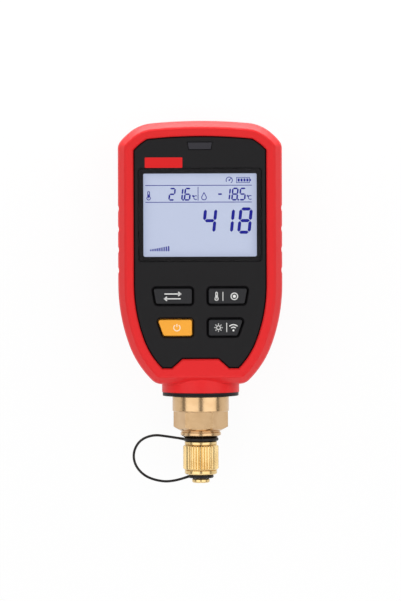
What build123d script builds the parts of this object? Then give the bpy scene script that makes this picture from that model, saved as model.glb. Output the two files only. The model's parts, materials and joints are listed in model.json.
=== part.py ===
# A wireless vacuum gauge, lying on its back with its display up.
# Millimetres. +X is to the right of the display, +Y to its top, +Z out of it.
# The origin is under the middle of the gauge, on the surface that it lies on.
# The port points along -Y, with its axis half way up the body.

import os
from math import asin, cos, degrees, pi, radians, sin, sqrt, tan

from build123d import *

os.makedirs("parts", exist_ok=True)

# Sizes along the length, in order from the crown of the body to the tip of the cap
body_length = 104.2
sleeve_length = 3.6
rim_ring_thickness = 0.9
gasket_thickness = 0.6
gasket_edge = 0.2
collar_length = 6.3
hex_length = 7.8
band_length = 2.7
neck_tether_space = 1.4
cap_length = 13.3
stud_length = 3.4
overall_length = (
    body_length + sleeve_length + rim_ring_thickness + gasket_thickness + collar_length
    + hex_length + band_length + neck_tether_space + cap_length + stud_length
)

# Places along the length
crown_y = overall_length / 2
shoulder_y = crown_y - body_length
sleeve_end_y = shoulder_y - sleeve_length
rim_ring_end_y = sleeve_end_y - rim_ring_thickness
seat_y = rim_ring_end_y - gasket_thickness
hex_top_y = seat_y - collar_length
hex_end_y = hex_top_y - hex_length
band_end_y = hex_end_y - band_length
cap_mouth_y = band_end_y - neck_tether_space
cap_end_y = cap_mouth_y - cap_length
stud_tip_y = cap_end_y - stud_length

# Front view of the body
body_width = 65.0
flank_radius = 69.7
flank_turn = 20.3
shoulder_radius = 37.9
shoulder_turn = 28.6
crown_rise = 1.25
corner_across = 10.0
corner_down = 9.4
corner_bulge = 0.9
crown_corner_radius = 16.0
side_corner_radius = 4.5
shoulder_corner_radius = 5.4
least_corner_radius = 1.0
half_width = body_width / 2
flank_top_y = (
    shoulder_y
    + flank_radius * sin(radians(flank_turn))
    + shoulder_radius * (sin(radians(flank_turn + shoulder_turn)) - sin(radians(flank_turn)))
)

# Depth of the body
body_depth = 35.0
part_line_z = body_depth / 2
port_z = part_line_z

# Protective boot
boot_wall = 2.6
rim_width = 6.3
rim_thickness = 2.3
back_lip_thickness = 2.0
bevel_width = 3.0
bevel_height = 4.6
bevel_foot_softening = 0.8
bevel_top_softening = 0.5
lip_bevel = 0.5
bevel_angle = 45
back_edge_radius = 3.2
sleeve_diameter = 31.0
sleeve_wall = 2.1
grip_count = 4
grip_pitch = 8.15
grip_first_from_crown = 34.7
grip_width = 2.6
grip_depth = 0.34
grip_bottom_z = 5.0
back_opening_width = 41.0
back_opening_length = 74.0
back_opening_from_crown = 46.0
back_opening_corner = 6.0

# Corners of the panel
panel_corner_across = 5.5
panel_corner_down = 5.5
panel_corner_bulge = 0.3

# Central notch in the panel, where the boot rises towards the keys
notch_top_width = 14.2
notch_foot_width = 22.4
notch_height = 3.7

# Case
fit_gap = 0.1
side_wall = 2.0
front_wall = 1.9
back_wall = 1.8
panel_recess = 0.8
panel_gap = 0.15
panel_edge_bevel = 0.4
case_inset = boot_wall + fit_gap
cavity_inset = case_inset + side_wall
case_front_z = body_depth - rim_thickness - fit_gap
case_back_z = back_lip_thickness + fit_gap
panel_z = body_depth - panel_recess
cavity_top_z = case_front_z - front_wall
cavity_bottom_z = case_back_z + back_wall
back_land_z = 0.8
seam_tongue_height = 1.2
seam_tongue_thickness = 0.9
seam_gap = 0.1

# Neck of the case
neck_radius = sleeve_diameter / 2 - sleeve_wall - fit_gap
rim_ring_radius = 15.25
neck_bore_radius = 11.6
neck_floor_thickness = 2.8
neck_floor_y = rim_ring_end_y + neck_floor_thickness
neck_reach_inside = 6.0
neck_inner_y = shoulder_y + neck_reach_inside

# Display
display_from_crown = 37.4
display_from_side = 10.1
display_width = body_width - 2 * display_from_side
display_height = 32.9
window_ledge = 2.1
window_thickness = 1.2
window_corner = 1.6
window_gap = 0.1
glass_thickness = 2.2
glass_margin = 1.6
glass_step = 1.8
light_guide_thickness = 2.2
light_guide_bevel = 0.8
frame_wall = 1.2
frame_gap = 0.15
stack_gap = 0.1
display_y = crown_y - display_from_crown
glass_top_z = cavity_top_z - stack_gap
glass_bottom_z = glass_top_z - glass_thickness
board_top_z = glass_bottom_z - light_guide_thickness
board_thickness = 1.6
board_bottom_z = board_top_z - board_thickness

# Indicator window above the display
indicator_from_crown = 10.2
indicator_top_width = 9.5
indicator_bottom_width = 8.6
indicator_height = 2.7
indicator_gap = 0.25
lens_flange_reach = 1.0
lens_flange_thickness = 0.8
lens_recess = 0.15
indicator_y = crown_y - indicator_from_crown

# Keys: distance of the row from the crown, height, outer reach at the top and at the bottom
upper_row = (69.4, 6.0, 18.5, 17.4)
lower_row = (81.85, 6.3, 16.8, 14.5)
key_inner_reach = 3.3
key_corner = 0.8
key_gap = 0.45
key_edge_bevel = 0.55
key_face_z = 35.0
key_face_fillet = 0.35
key_travel = 0.6
key_lift_gap = 0.3
key_flange_thickness = 1.1
key_flange_reach = 1.3
mat_thickness = 0.8
mat_margin = 1.6
dome_gap = 0.05
dome_clearance = 0.1
dome_radius = 2.4
dome_height = 0.35
dome_taper = 60

# Battery bay and door
cell_radius = 5.25
cell_length = 43.8
cell_gap = 0.3
cell_count = 3
cell_nub_radius = 1.9
cell_nub_length = 1.0
contact_space = 2.2
contact_thickness = 0.3
contact_gap = 0.05
contact_width = 4.0
contact_reach = 3.4
contact_knee_height = 2.7
contact_tip_top = 0.7
contact_tip_bottom = -1.7
contact_bend = 0.6
bay_from_crown = 41.0
bay_wall = 1.5
door_thickness = 1.5
door_ledge = 1.8
door_gap = 0.2
door_tail = 9.0
door_corner = 2.0
door_rib_count = 5
door_rib_pitch = 2.6
door_rib_width = 1.1
door_rib_length = 3.0
door_rib_depth = 0.4
door_rib_offset = 4.6
tab_width = 2.6
tab_thickness = 1.1
tab_reach = 1.1
tab_lip_height = 1.2

# Screws
case_screw_from_side_top = 7.9
case_screw_from_crown = 14.6
case_screw_from_side_bottom = 9.5
case_screw_bottom_from_crown = 80.6
case_screw_radius = 1.25
case_screw_head_radius = 2.2
case_screw_head_height = 1.5
case_screw_seat_z = 8.0
case_screw_engagement = 7.0
screw_clearance = 0.1
screw_head_clearance = 0.3
boss_radius = 2.7
back_boss_radius = 3.3
board_boss_radius = 2.3
board_screw_from_side_top = 17.0
board_screw_from_crown = 12.6
board_screw_from_side_bottom = 11.9
board_screw_bottom_from_crown = 60.9
board_screw_radius = 1.0
board_screw_head_radius = 1.8
board_screw_head_height = 1.2
board_screw_engagement = 3.6
door_screw_radius = 1.1
door_screw_head_radius = 2.2
door_screw_length = 5.0
cross_slot_reach = 1.2
cross_slot_width = 0.45
cross_slot_depth = 0.6

# Components on the board
board_margin = 0.6
board_end_from_shoulder = 16.0
component_bevel = 0.3
radio_from_side = 19.5
radio_from_crown = 73.0
radio_width = 13.0
radio_length = 18.0
radio_height = 2.6
chip_from_side = 24.5
chip_from_crown = 44.0
chip_width = 10.0
chip_height = 1.4
led_width = 3.2
led_length = 1.6
led_height = 1.0
buzzer_from_side = 19.5
buzzer_from_crown = 72.0
buzzer_radius = 6.0
buzzer_height = 3.2
buzzer_hole_radius = 1.0

# Brass port: 1/4 inch male flare with a 7/16-20 thread
collar_radius = 11.35
hex_across_flats = 19.0
hex_tilt = 4.0
hex_chamfer_angle = 30.0
turning_allowance = 1.0
band_radius = 8.1
band_foot_radius = 6.3
band_foot = 1.0
collar_bevel = 0.35
flare_root_radius = 4.8
thread_radius = 5.556
thread_chamfer = 0.6
flare_length = 12.6
nose_radius = 4.5
nose_tip_radius = 2.95
nose_length = 2.2
port_bore_radius = 2.4
shank_radius = 7.5
shank_clearance = 0.15
nut_across_flats = 19.0
nut_thickness = 3.6
nut_clearance = 0.05
shank_past_nut = 1.4
socket_radius = 5.6
socket_depth = 6.5

# Vacuum sensor
header_inset = 0.4
header_thickness = 2.0
header_gap = 0.05
header_seal_section = 1.0
pin_count = 4
pin_radius = 0.3
pin_circle_radius = 2.6
pin_length = 3.0
pin_stub_length = 0.8
filter_thickness = 1.6
sensor_board_gap = 0.8
sensor_board_thickness = 1.2
sensor_board_width = 16.0
sensor_board_height = 14.0
ribbon_thickness = 0.3
ribbon_width = 5.0
ribbon_bend = 1.2
ribbon_overlap = 4.0
nose_tip_y = band_end_y - flare_length
nut_y = neck_floor_y + nut_thickness
shank_end_y = nut_y + shank_past_nut

# Cap
knurl_radius = 7.1
knurl_depth = 0.42
knurl_count = 40
knurl_crest_share = 0.4
knurl_length = 9.9
knurl_start = 1.6
knurl_bevel = 0.5
cap_rim_radius = 6.5
cap_edge = 0.35
cap_groove = 0.35
cap_bore_radius = 5.7
seal_thickness = 1.0
seal_radius = 5.5
stud_neck_radius = 1.9
stud_flange_radius = 3.55
stud_flange_thickness = 1.6

# Tether of the cap
tether_diameter = 1.0
tether_ring_thickness = 1.2
neck_ring_radius = 7.1
cap_ring_radius = 5.1
ring_clearance = 0.2
ring_edge = 0.25
tail_root_inset = 0.6
tail_length = 2.2
neck_tail_lean = 9.0
cap_tail_lean = -18.0
neck_tail_run = 4.6
cap_tail_run = 5.7
bend_share = 0.45


# Helpers

def level(z):
    """The plane of the front view at height z."""
    return Plane.XY.offset(z)


def across_port(y):
    """The plane across the port's axis at y, facing along the port."""
    return Plane.XZ.offset(-y)


port_axis = Axis((0, 0, port_z), (0, 1, 0))
port_section = level(port_z)


def outline_face(inset, across, down, bulge):
    """The front view of the body inset mm inside its edge. The top corners are cut off."""
    crown_radius = ((half_width - corner_across) ** 2 + crown_rise ** 2) / (2 * crown_rise)
    flank_arc_radius = flank_radius - inset
    shoulder_arc_radius = shoulder_radius - inset
    reach = half_width - inset
    corner_x = reach - across
    corner_y = crown_y - crown_radius + sqrt((crown_radius - inset) ** 2 - corner_x ** 2)
    shoulder_centre_y = flank_top_y - (flank_radius - shoulder_radius) * sin(radians(flank_turn))
    end_turn = degrees(asin((shoulder_centre_y - shoulder_y - inset) / shoulder_arc_radius))
    with BuildSketch() as outline:
        with BuildLine():
            TangentArc((0, crown_y - inset), (corner_x, corner_y), tangent=(1, 0))
            corner_foot = (reach, crown_y - inset - down)
            SagittaArc((corner_x, corner_y), corner_foot, bulge)
            side = Line(corner_foot, (reach, flank_top_y))
            flank = JernArc(side @ 1, side % 1, flank_arc_radius, -flank_turn)
            shoulder = JernArc(flank @ 1, flank % 1, shoulder_arc_radius, flank_turn - end_turn)
            Line(shoulder @ 1, (0, shoulder_y + inset))
            mirror(about=Plane.YZ)
        make_face()
    return outline.sketch


def body_outline(inset):
    """The front view of the body, drawn parallel to its outer edge, with sharp corners."""
    with BuildSketch() as outline:
        add(outline_face(0, corner_across, corner_down, corner_bulge))
        if inset > 0:
            offset(amount=-inset, kind=Kind.INTERSECTION)
    return outline.sketch


def rounded_outline(inset):
    """The front view of the body, parallel to its outer edge, with its corners rounded."""
    with BuildSketch() as outline:
        add(body_outline(inset))
        side_corners = outline.vertices().group_by(Axis.Y)[-2]
        fillet(side_corners, max(side_corner_radius - inset, least_corner_radius))
        shoulder_corners = outline.vertices().group_by(Axis.Y)[0]
        fillet(shoulder_corners, max(shoulder_corner_radius - inset, least_corner_radius))
        crown_corners = outline.vertices().group_by(Axis.Y)[-1]
        fillet(crown_corners, crown_corner_radius - inset)
    return outline.sketch


def panel_outline(shrink):
    """The black panel that shows inside the boot's rim, or grown where shrink is negative."""
    foot_y = shoulder_y + rim_width
    with BuildSketch() as panel:
        add(outline_face(rim_width, panel_corner_across, panel_corner_down, panel_corner_bulge))
        with BuildLine():
            Polyline(
                (-notch_foot_width / 2, foot_y),
                (-notch_top_width / 2, foot_y + notch_height),
                (notch_top_width / 2, foot_y + notch_height),
                (notch_foot_width / 2, foot_y),
                close=True,
            )
        make_face(mode=Mode.SUBTRACT)
        if shrink != 0:
            offset(amount=-shrink, kind=Kind.INTERSECTION)
    return panel.sketch


def key_outline(row, side, grow):
    """A key seen from the front. side is -1 on the left and 1 on the right."""
    from_crown, height, outer_top, outer_bottom = row
    top_y = crown_y - from_crown + height / 2
    bottom_y = top_y - height
    with BuildSketch() as key:
        with BuildLine():
            Polyline(
                (side * key_inner_reach, top_y),
                (side * outer_top, top_y),
                (side * outer_bottom, bottom_y),
                (side * key_inner_reach, bottom_y),
                close=True,
            )
        make_face()
        fillet(key.vertices(), key_corner)
        if grow > 0:
            offset(amount=grow)
    return key.sketch


def screw_profile(head_radius, head_height, shaft_radius, length):
    """Half the section of a pan-head screw, with its head below the line and its tip above."""
    with BuildSketch(Plane.XZ) as profile:
        with BuildLine():
            Polyline(
                (0, -head_height),
                (head_radius - head_height / 3, -head_height),
                (head_radius, -head_height * 2 / 3),
                (head_radius, 0),
                (shaft_radius, 0),
                (shaft_radius, length - shaft_radius),
                (shaft_radius / 2, length),
                (0, length),
                close=True,
            )
        make_face()
    return profile.sketch


# Protective boot: one soft moulding with an opening at the front and one at the back

boot_front_z = body_depth - rim_thickness

# The bevel round the front, as distances inside the outer edge and below the front.
# It is softened where it leaves the side wall and where it meets the flat rim.
bevel_slope = bevel_width / bevel_height
bevel_profile = [
    (0, bevel_height + bevel_foot_softening),
    (bevel_slope * bevel_foot_softening, bevel_height - bevel_foot_softening),
    (bevel_width - bevel_slope * bevel_top_softening, bevel_top_softening),
    (bevel_width + bevel_top_softening, 0),
]

with BuildPart() as protective_boot:
    with BuildSketch():
        add(rounded_outline(0))
    extrude(amount=body_depth - bevel_profile[0][1])
    fillet(protective_boot.faces().sort_by(Axis.Z)[0].edges(), back_edge_radius)
    for inset, below_front in bevel_profile:
        with BuildSketch(level(body_depth - below_front)):
            add(rounded_outline(inset))
    loft(ruled=True)
    # Sleeve round the neck
    with BuildSketch(across_port(neck_inner_y)):
        with Locations((0, port_z)):
            Circle(sleeve_diameter / 2)
    extrude(amount=neck_inner_y - sleeve_end_y)
    # Room for the case
    with BuildSketch(level(back_lip_thickness)):
        add(rounded_outline(boot_wall))
    extrude(amount=boot_front_z - back_lip_thickness, mode=Mode.SUBTRACT)
    with BuildSketch(across_port(neck_inner_y)):
        with Locations((0, port_z)):
            Circle(sleeve_diameter / 2 - sleeve_wall)
    extrude(amount=neck_inner_y - sleeve_end_y, mode=Mode.SUBTRACT)
    # Front opening, with a softened lip
    with BuildSketch(level(boot_front_z)):
        add(panel_outline(0))
    extrude(amount=rim_thickness, mode=Mode.SUBTRACT)
    with BuildSketch(level(body_depth)):
        add(panel_outline(-lip_bevel))
    extrude(amount=-lip_bevel, taper=bevel_angle, mode=Mode.SUBTRACT)
    # Back opening
    with BuildSketch():
        with Locations((0, crown_y - back_opening_from_crown)):
            RectangleRounded(back_opening_width, back_opening_length, back_opening_corner)
    extrude(amount=back_lip_thickness, mode=Mode.SUBTRACT)
    # Finger grips down both sides
    grip_radius = (grip_width ** 2 / 4 + grip_depth ** 2) / (2 * grip_depth)
    grip_x = half_width - grip_depth + grip_radius
    with BuildSketch(level(grip_bottom_z)):
        for side in (-1, 1):
            for number in range(grip_count):
                grip_y = crown_y - grip_first_from_crown - number * grip_pitch
                with Locations((side * grip_x, grip_y)):
                    Circle(grip_radius)
    extrude(amount=body_depth - grip_bottom_z, mode=Mode.SUBTRACT)


# Case: both halves are parted from this closed shell

with BuildPart() as case_shell:
    with BuildSketch(level(case_back_z)):
        add(rounded_outline(case_inset))
    extrude(amount=case_front_z - case_back_z)
    # Land for the panel, which fills the boot's front opening
    with BuildSketch(level(case_front_z)):
        add(panel_outline(panel_gap))
    extrude(amount=panel_z - case_front_z)
    chamfer(case_shell.faces().sort_by(Axis.Z)[-1].edges(), panel_edge_bevel)
    # Land at the back, which fills the boot's back opening
    with BuildSketch(level(case_back_z)):
        with Locations((0, crown_y - back_opening_from_crown)):
            RectangleRounded(
                back_opening_width - 2 * panel_gap,
                back_opening_length - 2 * panel_gap,
                back_opening_corner - panel_gap,
            )
    extrude(amount=back_land_z - case_back_z)
    # Neck and its rim ring
    with BuildSketch(port_section):
        with BuildLine():
            Polyline(
                (0, neck_inner_y),
                (neck_radius, neck_inner_y),
                (neck_radius, sleeve_end_y),
                (rim_ring_radius, sleeve_end_y),
                (rim_ring_radius, rim_ring_end_y),
                (0, rim_ring_end_y),
                close=True,
            )
        make_face()
    revolve(axis=port_axis)
    # Inside
    with BuildSketch(level(cavity_bottom_z)):
        add(rounded_outline(cavity_inset))
    extrude(amount=cavity_top_z - cavity_bottom_z, mode=Mode.SUBTRACT)
    with BuildSketch(port_section):
        with BuildLine():
            Polyline(
                (0, neck_inner_y + side_wall),
                (neck_bore_radius, neck_inner_y + side_wall),
                (neck_bore_radius, neck_floor_y),
                (shank_radius + shank_clearance, neck_floor_y),
                (shank_radius + shank_clearance, rim_ring_end_y),
                (0, rim_ring_end_y),
                close=True,
            )
        make_face()
    revolve(axis=port_axis, mode=Mode.SUBTRACT)

case_screws_xy = [
    (side * x, crown_y - from_crown)
    for side in (-1, 1)
    for x, from_crown in (
        (half_width - case_screw_from_side_top, case_screw_from_crown),
        (half_width - case_screw_from_side_bottom, case_screw_bottom_from_crown),
    )
]
board_screws_xy = [
    (side * x, crown_y - from_crown)
    for side in (-1, 1)
    for x, from_crown in (
        (half_width - board_screw_from_side_top, board_screw_from_crown),
        (half_width - board_screw_from_side_bottom, board_screw_bottom_from_crown),
    )
]
keys = [
    ("unit_key", upper_row, -1),
    ("record_key", upper_row, 1),
    ("power_key", lower_row, -1),
    ("light_key", lower_row, 1),
]


def indicator_outline(grow):
    """The indicator window, which is wider at its top."""
    half_height = indicator_height / 2
    with BuildSketch() as window:
        with BuildLine():
            Polyline(
                (-indicator_top_width / 2, indicator_y + half_height),
                (indicator_top_width / 2, indicator_y + half_height),
                (indicator_bottom_width / 2, indicator_y - half_height),
                (-indicator_bottom_width / 2, indicator_y - half_height),
                close=True,
            )
        make_face()
        if grow > 0:
            offset(amount=grow, kind=Kind.INTERSECTION)
    return window.sketch


def seam_tongue(gap):
    """The plan of the tongue along the seam, cut away at the neck."""
    with BuildSketch() as tongue:
        add(rounded_outline(cavity_inset - seam_tongue_thickness - gap))
        add(rounded_outline(cavity_inset + gap), mode=Mode.SUBTRACT)
        with Locations((0, shoulder_y)):
            Rectangle(
                2 * (neck_radius + seam_tongue_thickness - gap), 4 * case_inset, mode=Mode.SUBTRACT
            )
    return tongue.sketch


with BuildPart() as front_housing:
    add(case_shell.part)
    split(bisect_by=level(part_line_z), keep=Keep.TOP)
    # Tongue that closes the seam
    with BuildSketch(level(part_line_z)):
        add(seam_tongue(0))
    extrude(amount=-seam_tongue_height)
    # Screw bosses
    with BuildSketch(level(part_line_z)):
        with Locations(case_screws_xy):
            Circle(boss_radius)
    extrude(amount=cavity_top_z - part_line_z)
    with BuildSketch(level(board_top_z)):
        with Locations(board_screws_xy):
            Circle(board_boss_radius)
    extrude(amount=cavity_top_z - board_top_z)
    with BuildSketch(level(part_line_z)):
        with Locations(case_screws_xy):
            Circle(case_screw_radius + screw_clearance)
    extrude(amount=case_screw_engagement + screw_clearance, mode=Mode.SUBTRACT)
    with BuildSketch(level(board_top_z)):
        with Locations(board_screws_xy):
            Circle(board_screw_radius + screw_clearance)
    extrude(amount=board_screw_engagement + screw_clearance, mode=Mode.SUBTRACT)
    # Display opening, with a ledge for its window
    with BuildSketch(level(cavity_top_z)):
        with Locations((0, display_y)):
            Rectangle(display_width, display_height)
    extrude(amount=panel_z - cavity_top_z, mode=Mode.SUBTRACT)
    with BuildSketch(level(panel_z)):
        with Locations((0, display_y)):
            RectangleRounded(
                display_width + 2 * window_ledge, display_height + 2 * window_ledge, window_corner
            )
    extrude(amount=-window_thickness, mode=Mode.SUBTRACT)
    # Key openings, bevelled at the front
    for name, row, side in keys:
        with BuildSketch(level(cavity_top_z)):
            add(key_outline(row, side, key_gap))
        extrude(amount=panel_z - cavity_top_z, mode=Mode.SUBTRACT)
        with BuildSketch(level(panel_z)):
            add(key_outline(row, side, key_gap + key_edge_bevel))
        extrude(amount=-key_edge_bevel, taper=bevel_angle, mode=Mode.SUBTRACT)
    # Indicator opening
    with BuildSketch(level(cavity_top_z)):
        add(indicator_outline(indicator_gap))
    extrude(amount=panel_z - cavity_top_z, mode=Mode.SUBTRACT)

bay_y = crown_y - bay_from_crown
bay_width = cell_count * (2 * cell_radius + cell_gap) + cell_gap
bay_length = cell_length + 2 * contact_space
door_inner_z = back_land_z + door_thickness
cell_z = door_inner_z + cell_gap + cell_radius
bay_top_z = cell_z + cell_radius + cell_gap
door_width = bay_width + 2 * door_ledge
door_top_y = bay_y + bay_length / 2 + door_ledge
door_bottom_y = bay_y - bay_length / 2 - door_ledge - door_tail
door_length = door_top_y - door_bottom_y
door_y = (door_top_y + door_bottom_y) / 2
door_screw_y = door_bottom_y + door_tail / 2
cells_x = [
    (number - (cell_count - 1) / 2) * (2 * cell_radius + cell_gap) for number in range(cell_count)
]
tabs_x = [(a + b) / 2 for a, b in zip(cells_x, cells_x[1:])]
tab_outer_y = bay_y + bay_length / 2 + bay_wall

with BuildPart() as back_housing:
    add(case_shell.part)
    split(bisect_by=level(part_line_z), keep=Keep.BOTTOM)
    # Battery bay
    with BuildSketch(level(cavity_bottom_z)):
        with Locations((0, bay_y)):
            Rectangle(bay_width + 2 * bay_wall, bay_length + 2 * bay_wall)
    extrude(amount=bay_top_z + bay_wall - cavity_bottom_z)
    with BuildSketch(level(back_land_z)):
        with Locations((0, bay_y)):
            Rectangle(bay_width, bay_length)
    extrude(amount=bay_top_z - back_land_z, mode=Mode.SUBTRACT)
    # Recess for the door, and slots for its tabs
    with BuildSketch(level(back_land_z)):
        with Locations((0, door_y)):
            RectangleRounded(door_width, door_length, door_corner)
    extrude(amount=door_thickness, mode=Mode.SUBTRACT)
    with BuildSketch(level(cavity_bottom_z)):
        for x in tabs_x:
            with Locations((x, tab_outer_y)):
                Rectangle(
                    tab_width + 2 * door_gap, 2 * (bay_wall + door_gap),
                )
    extrude(amount=tab_lip_height + 2 * door_gap, mode=Mode.SUBTRACT)
    # Bosses for the case screws and the door screw
    with BuildSketch(level(cavity_bottom_z)):
        with Locations(case_screws_xy):
            Circle(back_boss_radius)
    extrude(amount=part_line_z - cavity_bottom_z)
    with BuildSketch(level(case_back_z)):
        with Locations(case_screws_xy):
            Circle(case_screw_head_radius + screw_head_clearance)
    extrude(amount=case_screw_seat_z - case_back_z, mode=Mode.SUBTRACT)
    with BuildSketch(level(case_screw_seat_z)):
        with Locations(case_screws_xy):
            Circle(case_screw_radius + screw_clearance)
    extrude(amount=part_line_z - case_screw_seat_z, mode=Mode.SUBTRACT)
    with BuildSketch(level(door_inner_z)):
        with Locations((0, door_screw_y)):
            Circle(boss_radius)
    extrude(amount=door_screw_length)
    with BuildSketch(level(door_inner_z)):
        with Locations((0, door_screw_y)):
            Circle(door_screw_radius + screw_clearance)
    extrude(amount=door_screw_length, mode=Mode.SUBTRACT)
    # Groove for the tongue of the seam
    with BuildSketch(level(part_line_z)):
        add(seam_tongue(seam_gap))
    extrude(amount=-seam_tongue_height - seam_gap, mode=Mode.SUBTRACT)

# Battery door, with two tabs that hook over its ledge

with BuildPart() as battery_door:
    with BuildSketch(level(back_land_z)):
        with Locations((0, door_y)):
            RectangleRounded(
                door_width - 2 * door_gap, door_length - 2 * door_gap, door_corner - door_gap
            )
    extrude(amount=door_thickness)
    # Finger ribs at the end with the screw
    with BuildSketch(level(back_land_z)):
        for number in range(door_rib_count):
            x = (number - (door_rib_count - 1) / 2) * door_rib_pitch
            with Locations((x, door_screw_y + door_rib_offset)):
                SlotOverall(door_rib_length, door_rib_width, rotation=90)
    extrude(amount=door_rib_depth, mode=Mode.SUBTRACT)
    # Tabs
    for x in tabs_x:
        with BuildSketch(Plane.YZ.offset(x - tab_width / 2)):
            rib_y = bay_y + bay_length / 2 - door_gap
            lip_y = rib_y + tab_reach
            lip_z = cavity_bottom_z + door_gap
            with BuildLine():
                Polyline(
                    (rib_y - tab_thickness, door_inner_z),
                    (rib_y, door_inner_z),
                    (rib_y, lip_z),
                    (lip_y, lip_z),
                    (lip_y, lip_z + tab_lip_height - door_gap),
                    (rib_y - tab_thickness, lip_z + tab_lip_height - door_gap),
                    close=True,
                )
            make_face()
        extrude(amount=tab_width)
    # Countersunk hole
    with Locations(Plane(origin=(0, door_screw_y, back_land_z), z_dir=(0, 0, -1))):
        CounterSinkHole(
            radius=door_screw_radius + screw_clearance,
            counter_sink_radius=door_screw_head_radius,
            counter_sink_angle=90,
        )

with BuildPart() as battery_door_screw:
    head_depth = door_screw_head_radius - door_screw_radius
    with BuildSketch(Plane.XZ.offset(-door_screw_y)):
        with BuildLine():
            Polyline(
                (0, back_land_z),
                (door_screw_head_radius - screw_clearance, back_land_z),
                (door_screw_radius, back_land_z + head_depth - screw_clearance),
                (door_screw_radius, door_inner_z + door_screw_length - screw_clearance),
                (0, door_inner_z + door_screw_length - screw_clearance),
                close=True,
            )
        make_face()
    revolve(axis=Axis((0, door_screw_y, 0), (0, 0, 1)))
    with BuildSketch(level(back_land_z)):
        with Locations((0, door_screw_y)):
            Rectangle(2 * cross_slot_reach, cross_slot_width)
            Rectangle(cross_slot_width, 2 * cross_slot_reach)
    extrude(amount=cross_slot_depth, mode=Mode.SUBTRACT)


# Battery cells and their sprung contacts

def battery_cell(x, direction):
    """One cell along Y. direction is 1 where its raised end points up the gauge."""
    can_end = cell_length / 2 - cell_nub_length
    with BuildPart() as cell:
        with BuildSketch(Plane.XY.offset(cell_z)):
            with BuildLine():
                Polyline(
                    (x, bay_y - direction * cell_length / 2),
                    (x + cell_radius, bay_y - direction * cell_length / 2),
                    (x + cell_radius, bay_y + direction * can_end),
                    (x + cell_nub_radius, bay_y + direction * can_end),
                    (x + cell_nub_radius, bay_y + direction * cell_length / 2),
                    (x, bay_y + direction * cell_length / 2),
                    close=True,
                )
            make_face()
        revolve(axis=Axis((x, bay_y, cell_z), (0, 1, 0)))
    return cell.part


battery_cells = [
    battery_cell(x, 1 if number % 2 == 0 else -1) for number, x in enumerate(cells_x)
]


def contact_row(end):
    """Three bent contacts against one end of the bay. end is 1 at its top."""
    wall_y = bay_y + end * (bay_length / 2 - contact_thickness / 2)
    tip_y = bay_y + end * (cell_length / 2 + contact_thickness / 2 + contact_gap)
    with BuildPart() as contacts:
        for x in cells_x:
            with BuildSketch(Plane.YZ.offset(x - contact_width / 2)):
                with BuildLine():
                    FilletPolyline(
                        (wall_y, cell_z - contact_reach),
                        (wall_y, cell_z + contact_knee_height),
                        (tip_y, cell_z + contact_tip_top),
                        (tip_y, cell_z + contact_tip_bottom),
                        radius=contact_bend,
                    )
                trace(line_width=contact_thickness)
            extrude(amount=contact_width)
    return contacts.part


battery_contacts_top = contact_row(1)
battery_contacts_bottom = contact_row(-1)


# Screws

with BuildPart() as case_screws:
    for x, y in case_screws_xy:
        seat = Plane(origin=(x, y, case_screw_seat_z), x_dir=(1, 0, 0), z_dir=(0, -1, 0))
        with BuildSketch(seat):
            add(screw_profile(
                case_screw_head_radius, case_screw_head_height, case_screw_radius,
                part_line_z + case_screw_engagement - case_screw_seat_z,
            ))
        revolve(axis=Axis((x, y, 0), (0, 0, 1)))

with BuildPart() as board_screws:
    for x, y in board_screws_xy:
        seat = Plane(origin=(x, y, board_bottom_z), x_dir=(1, 0, 0), z_dir=(0, -1, 0))
        with BuildSketch(seat):
            add(screw_profile(
                board_screw_head_radius, board_screw_head_height, board_screw_radius,
                board_thickness + board_screw_engagement,
            ))
        revolve(axis=Axis((x, y, 0), (0, 0, 1)))


# Display, from the window down to the board

with BuildPart() as display_window:
    with BuildSketch(level(panel_z - window_thickness)):
        with Locations((0, display_y)):
            RectangleRounded(
                display_width + 2 * (window_ledge - window_gap),
                display_height + 2 * (window_ledge - window_gap),
                window_corner - window_gap,
            )
    extrude(amount=window_thickness)

glass_width = display_width + 2 * glass_margin
glass_height = display_height + 2 * glass_margin

with BuildPart() as lcd_panel:
    with BuildSketch(level(glass_bottom_z)):
        with Locations((0, display_y)):
            Rectangle(glass_width, glass_height)
    extrude(amount=glass_thickness / 2)
    with BuildSketch(level(glass_bottom_z + glass_thickness / 2)):
        with Locations((0, display_y + glass_step / 2)):
            Rectangle(glass_width, glass_height - glass_step)
    extrude(amount=glass_thickness / 2)

with BuildPart() as light_guide:
    with BuildSketch(level(board_top_z)):
        with Locations((0, display_y)):
            Rectangle(glass_width, glass_height)
    extrude(amount=light_guide_thickness)
    chamfer(light_guide.edges().filter_by(Axis.Z), light_guide_bevel)

with BuildPart() as display_frame:
    with BuildSketch(level(board_top_z)):
        with Locations((0, display_y)):
            RectangleRounded(
                glass_width + 2 * (frame_gap + frame_wall),
                glass_height + 2 * (frame_gap + frame_wall),
                frame_wall,
            )
            Rectangle(
                glass_width + 2 * frame_gap, glass_height + 2 * frame_gap, mode=Mode.SUBTRACT
            )
    extrude(amount=glass_top_z - board_top_z)


# Main board and what it carries

with BuildPart() as main_board:
    with BuildSketch(level(board_bottom_z)) as board_plan:
        add(rounded_outline(cavity_inset + board_margin))
        with Locations((0, shoulder_y)):
            Rectangle(body_width, 2 * board_end_from_shoulder, mode=Mode.SUBTRACT)
        with Locations(case_screws_xy):
            Circle(back_boss_radius + board_margin / 2, mode=Mode.SUBTRACT)
        with Locations(board_screws_xy):
            Circle(board_screw_radius + screw_clearance, mode=Mode.SUBTRACT)
    extrude(amount=board_thickness)


def block(x, y, width, length, z_low, height, corner):
    """A flat component with bevelled upright edges."""
    with BuildPart() as component:
        with BuildSketch(level(z_low)):
            with Locations((x, y)):
                Rectangle(width, length)
        extrude(amount=height)
        chamfer(component.edges().filter_by(Axis.Z), corner)
    return component.part


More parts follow.
